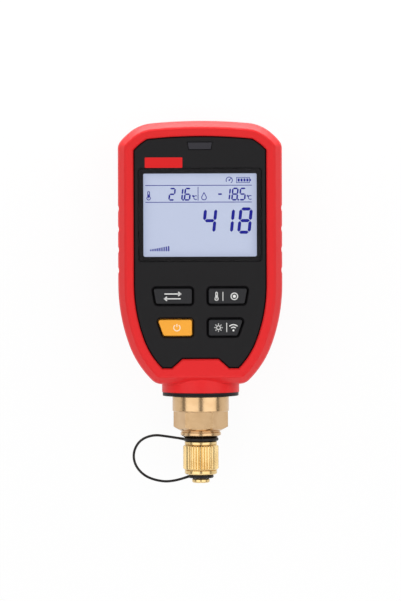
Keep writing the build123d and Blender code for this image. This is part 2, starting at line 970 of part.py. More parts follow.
radio_module = block(
    radio_from_side - half_width, crown_y - radio_from_crown, radio_width, radio_length,
    board_bottom_z - radio_height, radio_height, component_bevel,
)
controller_chip = block(
    half_width - chip_from_side, crown_y - chip_from_crown, chip_width, chip_width,
    board_bottom_z - chip_height, chip_height, component_bevel,
)
indicator_led = block(
    0, indicator_y, led_width, led_length, board_top_z, led_height, component_bevel / 2,
)

buzzer_middle = (half_width - buzzer_from_side, crown_y - buzzer_from_crown)

with BuildPart() as buzzer:
    with BuildSketch(level(board_bottom_z - buzzer_height)):
        with Locations(buzzer_middle):
            Circle(buzzer_radius)
    extrude(amount=buzzer_height)
    with BuildSketch(level(board_bottom_z - buzzer_height)):
        with Locations(buzzer_middle):
            Circle(buzzer_hole_radius)
    extrude(amount=buzzer_height / 2, mode=Mode.SUBTRACT)

with BuildPart() as indicator_lens:
    with BuildSketch(level(cavity_top_z - lens_flange_thickness)):
        add(indicator_outline(lens_flange_reach))
    extrude(amount=lens_flange_thickness)
    with BuildSketch(level(cavity_top_z)):
        add(indicator_outline(0))
    extrude(amount=panel_z - lens_recess - cavity_top_z)


# Keys, the rubber mat under them and the snap domes on the board

flange_top_z = cavity_top_z - key_lift_gap
flange_bottom_z = flange_top_z - key_flange_thickness
mat_pad_top_z = flange_bottom_z - key_travel - dome_gap
upper_key_top_y = crown_y - upper_row[0] + upper_row[1] / 2
lower_key_bottom_y = crown_y - lower_row[0] - lower_row[1] / 2
mat_y = (upper_key_top_y + lower_key_bottom_y) / 2


def key_middle(row, side):
    """The middle of a key."""
    from_crown, height, outer_top, outer_bottom = row
    return (side * (key_inner_reach + (outer_top + outer_bottom) / 2) / 2, crown_y - from_crown)


def build_key(row, side):
    """One key: its cap stands proud of the panel and its flange stays behind it."""
    with BuildPart() as key:
        with BuildSketch(level(flange_bottom_z)):
            add(key_outline(row, side, 0))
        extrude(amount=key_face_z - flange_bottom_z)
        fillet(key.faces().sort_by(Axis.Z)[-1].edges(), key_face_fillet)
        with BuildSketch(level(flange_bottom_z)):
            add(key_outline(row, side, key_flange_reach))
        extrude(amount=key_flange_thickness)
    return key.part


key_caps = {name: build_key(row, side) for name, row, side in keys}
key_middles = [key_middle(row, side) for name, row, side in keys]

with BuildPart() as keypad_mat:
    with BuildSketch(level(board_top_z)):
        with Locations((0, mat_y)):
            RectangleRounded(
                2 * (upper_row[2] + mat_margin),
                upper_key_top_y - lower_key_bottom_y + 2 * mat_margin,
                mat_margin,
            )
    extrude(amount=mat_thickness)
    with BuildSketch(level(board_top_z + mat_thickness)):
        for name, row, side in keys:
            add(key_outline(row, side, 0))
    extrude(amount=mat_pad_top_z - board_top_z - mat_thickness)
    with BuildSketch(level(board_top_z)):
        with Locations(key_middles):
            Circle(dome_radius + dome_clearance)
    extrude(amount=mat_thickness, mode=Mode.SUBTRACT)

with BuildPart() as key_domes:
    with BuildSketch(level(board_top_z)):
        with Locations(key_middles):
            Circle(dome_radius)
    extrude(amount=dome_height, taper=dome_taper)


# Brass port, turned from one bar

hex_clear_radius = hex_across_flats / sqrt(3) + turning_allowance
hex_bevel_rise = (hex_clear_radius - band_radius) * tan(radians(hex_chamfer_angle))
header_y = shank_end_y - header_inset
socket_floor_y = shank_end_y - socket_depth

with BuildPart() as port_fitting:
    with BuildSketch(across_port(hex_top_y)):
        with Locations((0, port_z)):
            RegularPolygon(hex_across_flats / 2, 6, major_radius=False, rotation=hex_tilt)
    extrude(amount=hex_length)
    # Turned bevel on the corners of the hexagon
    with BuildSketch(port_section):
        with BuildLine():
            Polyline(
                (band_radius, hex_end_y),
                (hex_clear_radius, hex_end_y),
                (hex_clear_radius, hex_end_y + hex_bevel_rise),
                close=True,
            )
        make_face()
    revolve(axis=port_axis, mode=Mode.SUBTRACT)
    # Collar, shank, band, flare root, thread and nose
    with BuildSketch(port_section):
        with BuildLine():
            Polyline(
                (0, shank_end_y),
                (shank_radius - thread_chamfer, shank_end_y),
                (shank_radius, shank_end_y - thread_chamfer),
                (shank_radius, seat_y),
                (collar_radius - collar_bevel, seat_y),
                (collar_radius, seat_y - collar_bevel),
                (collar_radius, hex_top_y + collar_bevel),
                (collar_radius - collar_bevel, hex_top_y),
                (band_radius - collar_bevel, hex_top_y),
                (band_radius - collar_bevel, hex_end_y - collar_bevel),
                (band_radius, hex_end_y - 2 * collar_bevel),
                (band_radius, band_end_y + band_foot),
                (band_foot_radius, band_end_y),
                (flare_root_radius, band_end_y),
                (flare_root_radius, cap_mouth_y - thread_chamfer),
                (thread_radius, cap_mouth_y - thread_chamfer - (thread_radius - flare_root_radius)),
                (thread_radius, nose_tip_y + nose_length + thread_chamfer),
                (nose_radius, nose_tip_y + nose_radius - nose_tip_radius),
                (nose_tip_radius, nose_tip_y),
                (0, nose_tip_y),
                close=True,
            )
        make_face()
    revolve(axis=port_axis)
    # Bore, and the socket for the sensor
    with BuildSketch(port_section):
        with BuildLine():
            Polyline(
                (0, shank_end_y),
                (socket_radius, shank_end_y),
                (socket_radius, socket_floor_y),
                (port_bore_radius, socket_floor_y),
                (port_bore_radius, nose_tip_y),
                (0, nose_tip_y),
                close=True,
            )
        make_face()
    revolve(axis=port_axis, mode=Mode.SUBTRACT)

with BuildPart() as lock_nut:
    with BuildSketch(across_port(nut_y)):
        with Locations((0, port_z)):
            RegularPolygon(nut_across_flats / 2, 6, major_radius=False)
            Circle(shank_radius + nut_clearance, mode=Mode.SUBTRACT)
    extrude(amount=nut_thickness)

with BuildPart() as neck_gasket:
    with BuildSketch(across_port(rim_ring_end_y)):
        with Locations((0, port_z)):
            Circle(rim_ring_radius)
            Circle(shank_radius + shank_clearance, mode=Mode.SUBTRACT)
    extrude(amount=gasket_thickness)
    outer_edges = neck_gasket.edges().filter_by(GeomType.CIRCLE).sort_by(SortBy.RADIUS)[-2:]
    fillet(outer_edges, gasket_edge)


# Vacuum sensor in its socket

with BuildPart() as sensor_header:
    with BuildSketch(across_port(header_y)):
        with Locations((0, port_z)):
            Circle(socket_radius - header_gap)
    extrude(amount=header_thickness)
    with BuildSketch(across_port(header_y + pin_length)):
        with Locations((0, port_z)):
            with PolarLocations(pin_circle_radius, pin_count, start_angle=45):
                Circle(pin_radius)
    extrude(amount=pin_length)
    with BuildSketch(across_port(header_y - header_thickness)):
        with Locations((0, port_z)):
            with PolarLocations(pin_circle_radius, pin_count, start_angle=45):
                Circle(pin_radius)
    extrude(amount=pin_stub_length)

with BuildPart() as header_seal:
    seal_y = header_y - header_thickness - header_seal_section / 2
    with BuildSketch(port_section):
        with Locations((socket_radius - header_gap - header_seal_section / 2, seal_y)):
            Rectangle(header_seal_section, header_seal_section)
    revolve(axis=port_axis)

with BuildPart() as sensor_filter:
    with BuildSketch(across_port(socket_floor_y + filter_thickness)):
        with Locations((0, port_z)):
            Circle(socket_radius - header_gap)
    extrude(amount=filter_thickness)

sensor_board_y = header_y + sensor_board_gap

with BuildPart() as sensor_board:
    with BuildSketch(across_port(sensor_board_y + sensor_board_thickness)):
        with Locations((0, port_z)):
            Rectangle(sensor_board_width, sensor_board_height)
            with PolarLocations(pin_circle_radius, pin_count, start_angle=45):
                Circle(pin_radius + screw_clearance, mode=Mode.SUBTRACT)
    extrude(amount=sensor_board_thickness)

with BuildPart() as sensor_ribbon:
    ribbon_y = sensor_board_y + sensor_board_thickness + ribbon_thickness / 2
    ribbon_z = board_bottom_z - ribbon_thickness / 2
    ribbon_foot_z = port_z + pin_circle_radius + 2 * pin_radius
    board_edge_y = shoulder_y + board_end_from_shoulder
    with BuildSketch(Plane.YZ.offset(-ribbon_width / 2)):
        with BuildLine():
            FilletPolyline(
                (ribbon_y, ribbon_foot_z),
                (ribbon_y, ribbon_z),
                (board_edge_y + ribbon_overlap, ribbon_z),
                radius=ribbon_bend,
            )
        trace(line_width=ribbon_thickness)
    extrude(amount=ribbon_width)


# Knurled cap with its stud, and the seal inside

def knurl_points():
    """The corners of the knurled section: both sides of each crest, then the root after it."""
    root_place = (1 + knurl_crest_share) / 2
    tooth_corners = (
        (0, knurl_radius),
        (knurl_crest_share, knurl_radius),
        (root_place, knurl_radius - knurl_depth),
    )
    points = []
    for tooth in range(knurl_count):
        for place, radius in tooth_corners:
            angle = 2 * pi * (tooth + place) / knurl_count
            points.append((radius * cos(angle), port_z + radius * sin(angle)))
    return points


knurl_top_y = cap_mouth_y - knurl_start
knurl_end_y = knurl_top_y - knurl_length
cap_bore_end_y = nose_tip_y - seal_thickness

with BuildPart() as flare_cap:
    with BuildSketch(across_port(knurl_top_y)):
        with BuildLine():
            Polyline(*knurl_points(), close=True)
        make_face()
    extrude(amount=knurl_length)
    # Turned bevels at both ends of the knurl
    with BuildSketch(port_section):
        for end_y, inward in ((knurl_top_y, -1), (knurl_end_y, 1)):
            with BuildLine():
                Polyline(
                    (knurl_radius - knurl_bevel, end_y),
                    (knurl_radius + knurl_bevel, end_y),
                    (knurl_radius + knurl_bevel, end_y + inward * 2 * knurl_bevel),
                    close=True,
                )
            make_face()
    revolve(axis=port_axis, mode=Mode.SUBTRACT)
    # Rims, closed end and stud
    with BuildSketch(port_section):
        with BuildLine():
            Polyline(
                (0, cap_mouth_y),
                (cap_rim_radius - cap_edge, cap_mouth_y),
                (cap_rim_radius, cap_mouth_y - cap_edge),
                (cap_rim_radius, knurl_top_y + cap_groove),
                (cap_rim_radius - cap_groove, knurl_top_y),
                (cap_rim_radius - cap_groove, knurl_end_y),
                (cap_rim_radius, knurl_end_y - cap_groove),
                (cap_rim_radius, cap_end_y + cap_edge),
                (cap_rim_radius - cap_edge, cap_end_y),
                (stud_neck_radius, cap_end_y),
                (stud_neck_radius, stud_tip_y + stud_flange_thickness),
                (stud_flange_radius - cap_edge, stud_tip_y + stud_flange_thickness),
                (stud_flange_radius, stud_tip_y + stud_flange_thickness - cap_edge),
                (stud_flange_radius, stud_tip_y + cap_edge),
                (stud_flange_radius - cap_edge, stud_tip_y),
                (0, stud_tip_y),
                close=True,
            )
        make_face()
    revolve(axis=port_axis)
    # Threaded bore, opened by a bevel at the mouth
    with BuildSketch(port_section):
        with BuildLine():
            Polyline(
                (0, cap_mouth_y),
                (cap_bore_radius + cap_edge, cap_mouth_y),
                (cap_bore_radius, cap_mouth_y - cap_edge),
                (cap_bore_radius, cap_bore_end_y),
                (0, cap_bore_end_y),
                close=True,
            )
        make_face()
    revolve(axis=port_axis, mode=Mode.SUBTRACT)

with BuildPart() as cap_seal:
    with BuildSketch(across_port(nose_tip_y)):
        with Locations((0, port_z)):
            Circle(seal_radius)
    extrude(amount=seal_thickness)


# Tether: a ring round the flare root, a ring round the stud and the cord between them

neck_ring_y = (band_end_y + cap_mouth_y) / 2
cap_ring_y = (cap_end_y + stud_tip_y + stud_flange_thickness) / 2


def tail_plane(y, outer_radius, lean):
    """The plane of a tail, at the tail's root, with its X axis along the tail."""
    along = (-cos(radians(lean)), sin(radians(lean)), 0)
    return Plane(origin=(tail_root_inset - outer_radius, y, port_z), x_dir=along, z_dir=(0, 0, 1))


def tether_ring(y, outer_radius, inner_radius, lean):
    """A flat ring round the port's axis, with a leaning tail that narrows into the cord."""
    half_thickness = tether_ring_thickness / 2
    tail = tail_plane(y, outer_radius, lean)
    with BuildPart() as ring:
        with BuildSketch(port_section):
            with BuildLine():
                Polyline(
                    (inner_radius, y - half_thickness),
                    (outer_radius - ring_edge, y - half_thickness),
                    (outer_radius, y - half_thickness + ring_edge),
                    (outer_radius, y + half_thickness - ring_edge),
                    (outer_radius - ring_edge, y + half_thickness),
                    (inner_radius, y + half_thickness),
                    close=True,
                )
            make_face()
        revolve(axis=port_axis)
        with BuildSketch(tail):
            with BuildLine():
                Polyline(
                    (0, 0),
                    (0, half_thickness),
                    (tail_length, tether_diameter / 2),
                    (tail_length, 0),
                    close=True,
                )
            make_face()
        revolve(axis=Axis(tail.origin, tail.x_dir))
    return ring.part


tether_neck_ring = tether_ring(
    neck_ring_y, neck_ring_radius, flare_root_radius + ring_clearance, neck_tail_lean
)
tether_cap_ring = tether_ring(
    cap_ring_y, cap_ring_radius, stud_neck_radius + ring_clearance, cap_tail_lean
)

# The route of the cord, from the neck ring's tail round to the cap ring's tail
neck_tail = tail_plane(neck_ring_y, neck_ring_radius, neck_tail_lean)
cap_tail = tail_plane(cap_ring_y, cap_ring_radius, cap_tail_lean)
tether_route = [
    neck_tail.origin + neck_tail.x_dir * tail_length,
    neck_tail.origin + neck_tail.x_dir * (tail_length + neck_tail_run),
    Vector(-19.0, -52.9, 17.2),
    Vector(-24.3, -54.9, 16.8),
    Vector(-27.1, -59.4, 16.4),
    Vector(-26.9, -64.3, 16.4),
    Vector(-23.9, -68.6, 16.8),
    Vector(-19.1, -71.1, 17.2),
    cap_tail.origin + cap_tail.x_dir * (tail_length + cap_tail_run),
    cap_tail.origin + cap_tail.x_dir * tail_length,
]


def bend_radii(route):
    """The radius of each bend, from its two runs and the angle between them."""
    radii = []
    for before, corner, after in zip(route, route[1:], route[2:]):
        run_in = corner - before
        run_out = after - corner
        half_turn = radians(run_in.get_angle(run_out)) / 2
        radii.append(bend_share * min(run_in.length, run_out.length) / tan(half_turn))
    return radii


tether_radii = bend_radii(tether_route)
print("tether bend radii:", [round(radius, 1) for radius in tether_radii])

with BuildPart() as tether_cord:
    with BuildLine():
        tether_line = FilletPolyline(*tether_route, radius=tether_radii)
    with BuildSketch(Plane(origin=tether_line @ 0, z_dir=tether_line % 0)):
        Circle(tether_diameter / 2)
    sweep()
tether_length = tether_line.length
print("tether length:", round(tether_length, 2))
print(
    "tether volume over section times length:",
    round(tether_cord.part.volume / (pi * tether_diameter ** 2 / 4 * tether_length), 4),
)


# Files, one for each piece

pieces = {
    "protective_boot": protective_boot.part,
    "front_housing": front_housing.part,
    "back_housing": back_housing.part,
    "battery_door": battery_door.part,
    "battery_door_screw": battery_door_screw.part,
    "battery_contacts_top": battery_contacts_top,
    "battery_contacts_bottom": battery_contacts_bottom,
    "case_screws": case_screws.part,
    "board_screws": board_screws.part,
    "display_window": display_window.part,
    "lcd_panel": lcd_panel.part,
    "light_guide": light_guide.part,
    "display_frame": display_frame.part,
    "main_board": main_board.part,
    "radio_module": radio_module,
    "controller_chip": controller_chip,
    "buzzer": buzzer.part,
    "indicator_led": indicator_led,
    "indicator_lens": indicator_lens.part,
    "keypad_mat": keypad_mat.part,
    "key_domes": key_domes.part,
    "port_fitting": port_fitting.part,
    "lock_nut": lock_nut.part,
    "neck_gasket": neck_gasket.part,
    "sensor_header": sensor_header.part,
    "header_seal": header_seal.part,
    "sensor_filter": sensor_filter.part,
    "sensor_board": sensor_board.part,
    "sensor_ribbon": sensor_ribbon.part,
    "flare_cap": flare_cap.part,
    "cap_seal": cap_seal.part,
    "tether_neck_ring": tether_neck_ring,
    "tether_cap_ring": tether_cap_ring,
    "tether_cord": tether_cord.part,
}
pieces.update(key_caps)
for number, cell in enumerate(battery_cells, start=1):
    pieces[f"battery_cell_{number}"] = cell

for name, piece in pieces.items():
    piece.label = name
    export_step(piece, f"parts/{name}.step")
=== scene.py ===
# The looks of a wireless vacuum gauge: its finishes, its lit display, the symbols on its keys,
# the thread of its port and the tether of its cap.

import json
import math

import bmesh
import bpy
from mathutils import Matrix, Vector


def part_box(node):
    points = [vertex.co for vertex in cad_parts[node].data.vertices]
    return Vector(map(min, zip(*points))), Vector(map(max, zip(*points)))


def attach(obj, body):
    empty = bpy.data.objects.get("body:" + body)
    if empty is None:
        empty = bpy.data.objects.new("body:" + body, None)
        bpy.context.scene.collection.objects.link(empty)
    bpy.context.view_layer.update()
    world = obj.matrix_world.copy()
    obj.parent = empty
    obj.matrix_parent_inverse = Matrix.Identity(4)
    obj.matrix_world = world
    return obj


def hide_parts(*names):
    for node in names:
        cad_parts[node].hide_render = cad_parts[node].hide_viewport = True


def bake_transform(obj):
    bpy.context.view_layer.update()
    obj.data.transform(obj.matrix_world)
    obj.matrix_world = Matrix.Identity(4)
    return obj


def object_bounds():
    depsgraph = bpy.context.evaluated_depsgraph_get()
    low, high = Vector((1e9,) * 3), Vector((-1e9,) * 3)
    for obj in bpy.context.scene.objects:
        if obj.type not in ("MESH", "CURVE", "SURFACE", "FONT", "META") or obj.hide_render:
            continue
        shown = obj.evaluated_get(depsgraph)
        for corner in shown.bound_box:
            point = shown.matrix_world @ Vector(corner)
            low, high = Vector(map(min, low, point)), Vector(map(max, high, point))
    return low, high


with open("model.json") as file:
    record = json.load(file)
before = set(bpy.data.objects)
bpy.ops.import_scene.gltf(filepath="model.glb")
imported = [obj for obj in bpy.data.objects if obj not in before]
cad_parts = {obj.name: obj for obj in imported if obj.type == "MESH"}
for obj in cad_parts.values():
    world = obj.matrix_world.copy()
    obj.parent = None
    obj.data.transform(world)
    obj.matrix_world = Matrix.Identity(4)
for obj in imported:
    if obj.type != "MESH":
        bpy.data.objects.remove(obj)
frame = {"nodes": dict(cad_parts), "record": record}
nodes = frame["nodes"]
record = frame["record"]
cad_low, cad_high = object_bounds()

# Lengths below are in millimetres where a name or a comment says so, and are turned into metres by MM.
MM = 0.001

# Heights of the faces that carry print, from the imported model
glass_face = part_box("lcd_panel")[1].z
panel_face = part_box("front_housing")[1].z
key_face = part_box("unit_key")[1].z
port_axis_z = (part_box("flare_cap")[0].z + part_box("flare_cap")[1].z) / 2


# Colours

def screen_colour(red, green, blue):
    """A colour as a screen shows it, from 0 to 255, turned into linear light."""
    linear = []
    for value in (red, green, blue):
        share = value / 255
        linear.append(share / 12.92 if share <= 0.04045 else ((share + 0.055) / 1.055) ** 2.4)
    return (*linear, 1.0)


# Shader groups that several finishes share

def new_group(name, inputs, outputs):
    """An empty shader group with named inputs and outputs, and its two end nodes."""
    group = bpy.data.node_groups.new(name, "ShaderNodeTree")
    for socket_name, kind, value in inputs:
        socket = group.interface.new_socket(name=socket_name, in_out="INPUT", socket_type=kind)
        socket.default_value = value
    for socket_name, kind in outputs:
        group.interface.new_socket(name=socket_name, in_out="OUTPUT", socket_type=kind)
    return group, group.nodes.new("NodeGroupInput"), group.nodes.new("NodeGroupOutput")


def moulded_grain_group():
    """The fine sparkle of a moulded surface, with the slow unevenness of its sheen and colour."""
    group, given, made = new_group(
        "moulded_grain",
        [
            ("Grain size", "NodeSocketFloat", 0.0003),
            ("Colour", "NodeSocketColor", (0.5, 0.5, 0.5, 1.0)),
            ("Colour depth", "NodeSocketFloat", 0.06),
            ("Sheen", "NodeSocketFloat", 0.5),
            ("Sheen spread", "NodeSocketFloat", 0.08),
        ],
        [
            ("Height", "NodeSocketFloat"),
            ("Colour", "NodeSocketColor"),
            ("Roughness", "NodeSocketFloat"),
        ],
    )
    add, link = group.nodes.new, group.links.new
    place = add("ShaderNodeTexCoord")
    grain_scale = add("ShaderNodeMath")
    grain_scale.operation = "DIVIDE"
    grain_scale.inputs[0].default_value = 1.0
    link(given.outputs["Grain size"], grain_scale.inputs[1])
    grain = add("ShaderNodeTexNoise")
    grain.inputs["Detail"].default_value = 2.0
    link(place.outputs["Object"], grain.inputs["Vector"])
    link(grain_scale.outputs[0], grain.inputs["Scale"])
    link(grain.outputs["Fac"], made.inputs["Height"])
    slow = add("ShaderNodeTexNoise")
    slow.inputs["Scale"].default_value = 45.0
    slow.inputs["Detail"].default_value = 4.0
    link(place.outputs["Object"], slow.inputs["Vector"])
    mixed_noise = add("ShaderNodeMath")
    mixed_noise.operation = "ADD"
    link(slow.outputs["Fac"], mixed_noise.inputs[0])
    link(grain.outputs["Fac"], mixed_noise.inputs[1])
    dimming = add("ShaderNodeMapRange")
    dimming.inputs["From Min"].default_value = 0.6
    dimming.inputs["From Max"].default_value = 1.4
    dimming.inputs["To Min"].default_value = 1.0
    link(mixed_noise.outputs[0], dimming.inputs["Value"])
    darkest = add("ShaderNodeMath")
    darkest.operation = "SUBTRACT"
    darkest.inputs[0].default_value = 1.0
    link(given.outputs["Colour depth"], darkest.inputs[1])
    link(darkest.outputs[0], dimming.inputs["To Max"])
    dimmed = add("ShaderNodeVectorMath")
    dimmed.operation = "SCALE"
    link(given.outputs["Colour"], dimmed.inputs[0])
    link(dimming.outputs[0], dimmed.inputs["Scale"])
    link(dimmed.outputs[0], made.inputs["Colour"])
    centred = add("ShaderNodeMath")
    centred.operation = "SUBTRACT"
    centred.inputs[1].default_value = 0.5
    link(slow.outputs["Fac"], centred.inputs[0])
    spread = add("ShaderNodeMath")
    spread.operation = "MULTIPLY_ADD"
    link(centred.outputs[0], spread.inputs[0])
    link(given.outputs["Sheen spread"], spread.inputs[1])
    link(given.outputs["Sheen"], spread.inputs[2])
    link(spread.outputs[0], made.inputs["Roughness"])
    return group


def turned_marks_group():
    """Fine marks that a lathe leaves round the port's axis, and the tone that they give the metal."""
    group, given, made = new_group(
        "turned_marks",
        [
            ("Colour", "NodeSocketColor", (0.8, 0.6, 0.3, 1.0)),
            ("Darker colour", "NodeSocketColor", (0.6, 0.4, 0.2, 1.0)),
            ("Marks per metre", "NodeSocketFloat", 9000.0),
            ("Sheen", "NodeSocketFloat", 0.2),
        ],
        [
            ("Height", "NodeSocketFloat"),
            ("Colour", "NodeSocketColor"),
            ("Roughness", "NodeSocketFloat"),
        ],
    )
    add, link = group.nodes.new, group.links.new
    place = add("ShaderNodeTexCoord")
    split = add("ShaderNodeSeparateXYZ")
    link(place.outputs["Object"], split.inputs[0])
    along = add("ShaderNodeCombineXYZ")
    link(split.outputs["Y"], along.inputs["Y"])
    marks = add("ShaderNodeTexNoise")
    marks.inputs["Detail"].default_value = 3.0
    link(along.outputs[0], marks.inputs["Vector"])
    link(given.outputs["Marks per metre"], marks.inputs["Scale"])
    link(marks.outputs["Fac"], made.inputs["Height"])
    cloud = add("ShaderNodeTexNoise")
    cloud.inputs["Scale"].default_value = 180.0
    cloud.inputs["Detail"].default_value = 5.0
    link(place.outputs["Object"], cloud.inputs["Vector"])
    tone = add("ShaderNodeMapRange")
    tone.inputs["From Min"].default_value = 0.4
    tone.inputs["From Max"].default_value = 0.75
    link(cloud.outputs["Fac"], tone.inputs["Value"])
    mixed = add("ShaderNodeMix")
    mixed.data_type = "RGBA"
    link(tone.outputs[0], mixed.inputs["Factor"])
    link(given.outputs["Colour"], mixed.inputs["A"])
    link(given.outputs["Darker colour"], mixed.inputs["B"])
    link(mixed.outputs["Result"], made.inputs["Colour"])
    spread = add("ShaderNodeMath")
    spread.operation = "MULTIPLY_ADD"
    spread.inputs[1].default_value = 0.12
    link(marks.outputs["Fac"], spread.inputs[0])
    link(given.outputs["Sheen"], spread.inputs[2])
    link(spread.outputs[0], made.inputs["Roughness"])
    return group


def soft_edge_group():
    """The normal of a surface whose edges are slightly rounded, with the bump of its grain."""
    group, given, made = new_group(
        "soft_edge",
        [
            ("Edge radius", "NodeSocketFloat", 0.0002),
            ("Grain depth", "NodeSocketFloat", 0.00001),
            ("Height", "NodeSocketFloat", 0.0),
        ],
        [("Normal", "NodeSocketVector")],
    )
    add, link = group.nodes.new, group.links.new
    rounded = add("ShaderNodeBevel")
    rounded.samples = 4
    link(given.outputs["Edge radius"], rounded.inputs["Radius"])
    bump = add("ShaderNodeBump")
    link(given.outputs["Grain depth"], bump.inputs["Distance"])
    link(given.outputs["Height"], bump.inputs["Height"])
    link(rounded.outputs["Normal"], bump.inputs["Normal"])
    link(bump.outputs["Normal"], made.inputs["Normal"])
    return group


moulded_grain = moulded_grain_group()
turned_marks = turned_marks_group()
soft_edge = soft_edge_group()


# Finishes

def new_finish(name):
    """A material with one Principled shader, and the functions that add and link its nodes."""
    material = bpy.data.materials.new(name)
    material.use_nodes = True
    tree = material.node_tree
    return material, tree.nodes["Principled BSDF"], tree.nodes.new, tree.links.new


def add_group(add, group, values):
    """Places a shader group in a material with its own values."""
    placed = add("ShaderNodeGroup")
    placed.node_tree = group
    for socket_name, value in values.items():
        placed.inputs[socket_name].default_value = value
    return placed


def moulded(
    name, colour, sheen, grain_size, grain_depth, edge_radius, spread=0.08, depth=0.06, gloss=0.25
):
    """A moulded plastic or rubber."""
    material, shader, add, link = new_finish(name)
    shader.inputs["Specular IOR Level"].default_value = gloss
    grain = add_group(add, moulded_grain, {
        "Grain size": grain_size,
        "Colour": colour,
        "Colour depth": depth,
        "Sheen": sheen,
        "Sheen spread": spread,
    })
    edge = add_group(add, soft_edge, {"Edge radius": edge_radius, "Grain depth": grain_depth})
    link(grain.outputs["Height"], edge.inputs["Height"])
    link(grain.outputs["Colour"], shader.inputs["Base Color"])
    link(grain.outputs["Roughness"], shader.inputs["Roughness"])
    link(edge.outputs["Normal"], shader.inputs["Normal"])
    return material


def turned_metal(name, colour, darker_colour, sheen, marks_per_metre, mark_depth, edge_radius):
    """A metal that was turned on a lathe."""
    material, shader, add, link = new_finish(name)
    shader.inputs["Metallic"].default_value = 1.0
    marks = add_group(add, turned_marks, {
        "Colour": colour,
        "Darker colour": darker_colour,
        "Marks per metre": marks_per_metre,
        "Sheen": sheen,
    })
    edge = add_group(add, soft_edge, {"Edge radius": edge_radius, "Grain depth": mark_depth})
    link(marks.outputs["Height"], edge.inputs["Height"])
    link(marks.outputs["Colour"], shader.inputs["Base Color"])
    link(marks.outputs["Roughness"], shader.inputs["Roughness"])
    link(edge.outputs["Normal"], shader.inputs["Normal"])
    return material


def clear_window():
    """Clear plastic that lets the studio's light through to what lies behind it."""
    material, shader, add, link = new_finish("clear_window")
    shader.inputs["Base Color"].default_value = (1.0, 1.0, 1.0, 1.0)
    shader.inputs["Roughness"].default_value = 0.02
    shader.inputs["IOR"].default_value = 1.3
    shader.inputs["Transmission Weight"].default_value = 1.0
    path = add("ShaderNodeLightPath")
    passing = add("ShaderNodeBsdfTransparent")
    choice = add("ShaderNodeMixShader")
    link(path.outputs["Is Shadow Ray"], choice.inputs["Fac"])
    link(shader.outputs[0], choice.inputs[1])
    link(passing.outputs[0], choice.inputs[2])
    link(choice.outputs[0], material.node_tree.nodes["Material Output"].inputs["Surface"])
    return material


def display_glass():
    """The lit display, a little dimmer towards its edges, where shade is painted into its glow."""
    material, shader, add, link = new_finish("display_glass")
    low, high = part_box("lcd_panel")
    place = add("ShaderNodeTexCoord")
    split = add("ShaderNodeSeparateXYZ")
    link(place.outputs["Object"], split.inputs[0])
    across = add("ShaderNodeMapRange")
    across.inputs["From Min"].default_value = low.x
    across.inputs["From Max"].default_value = high.x
    across.inputs["To Min"].default_value = -1.0
    link(split.outputs["X"], across.inputs["Value"])
    up = add("ShaderNodeMapRange")
    up.inputs["From Min"].default_value = low.y
    up.inputs["From Max"].default_value = high.y
    up.inputs["To Min"].default_value = -1.0
    link(split.outputs["Y"], up.inputs["Value"])
    # Painted shade: near its edges the display's glow is mixed to a darker colour, standing in for the shade of
    # the walls of the recess round it.
    painted_edge_shade = None
    for direction in (across, up):
        powered = add("ShaderNodeMath")
        powered.operation = "POWER"
        powered.inputs[1].default_value = 12.0
        positive = add("ShaderNodeMath")
        positive.operation = "ABSOLUTE"
        link(direction.outputs[0], positive.inputs[0])
        link(positive.outputs[0], powered.inputs[0])
        if painted_edge_shade is None:
            painted_edge_shade = powered
        else:
            larger = add("ShaderNodeMath")
            larger.operation = "MAXIMUM"
            link(painted_edge_shade.outputs[0], larger.inputs[0])
            link(powered.outputs[0], larger.inputs[1])
            painted_edge_shade = larger
    glow = add("ShaderNodeMix")
    glow.data_type = "RGBA"
    glow.inputs["A"].default_value = screen_colour(181, 190, 214)
    glow.inputs["B"].default_value = screen_colour(140, 150, 182)
    link(painted_edge_shade.outputs[0], glow.inputs["Factor"])
    link(glow.outputs["Result"], shader.inputs["Emission Color"])
    shader.inputs["Emission Strength"].default_value = 1.0
    shader.inputs["Base Color"].default_value = screen_colour(60, 63, 72)
    shader.inputs["Roughness"].default_value = 0.3
    return material


def printed(name, colour, glow=0.0, glow_colour=None, gloss=0.1):
    """Ink on a face, or a dark mark of the display."""
    material, shader, add, link = new_finish(name)
    shader.inputs["Specular IOR Level"].default_value = gloss
    grain = add_group(add, moulded_grain, {
        "Grain size": 0.0002,
        "Colour": colour,
        "Colour depth": 0.05,
        "Sheen": 0.5,
        "Sheen spread": 0.1,
    })
    link(grain.outputs["Colour"], shader.inputs["Base Color"])
    link(grain.outputs["Roughness"], shader.inputs["Roughness"])
    if glow > 0:
        shader.inputs["Emission Color"].default_value = glow_colour or colour
        shader.inputs["Emission Strength"].default_value = glow
    return material


brass_light = (0.64, 0.43, 0.235, 1.0)
brass_deep = (0.54, 0.34, 0.17, 1.0)
yellow_brass_light = (0.78, 0.58, 0.28, 1.0)
yellow_brass_deep = (0.68, 0.47, 0.2, 1.0)

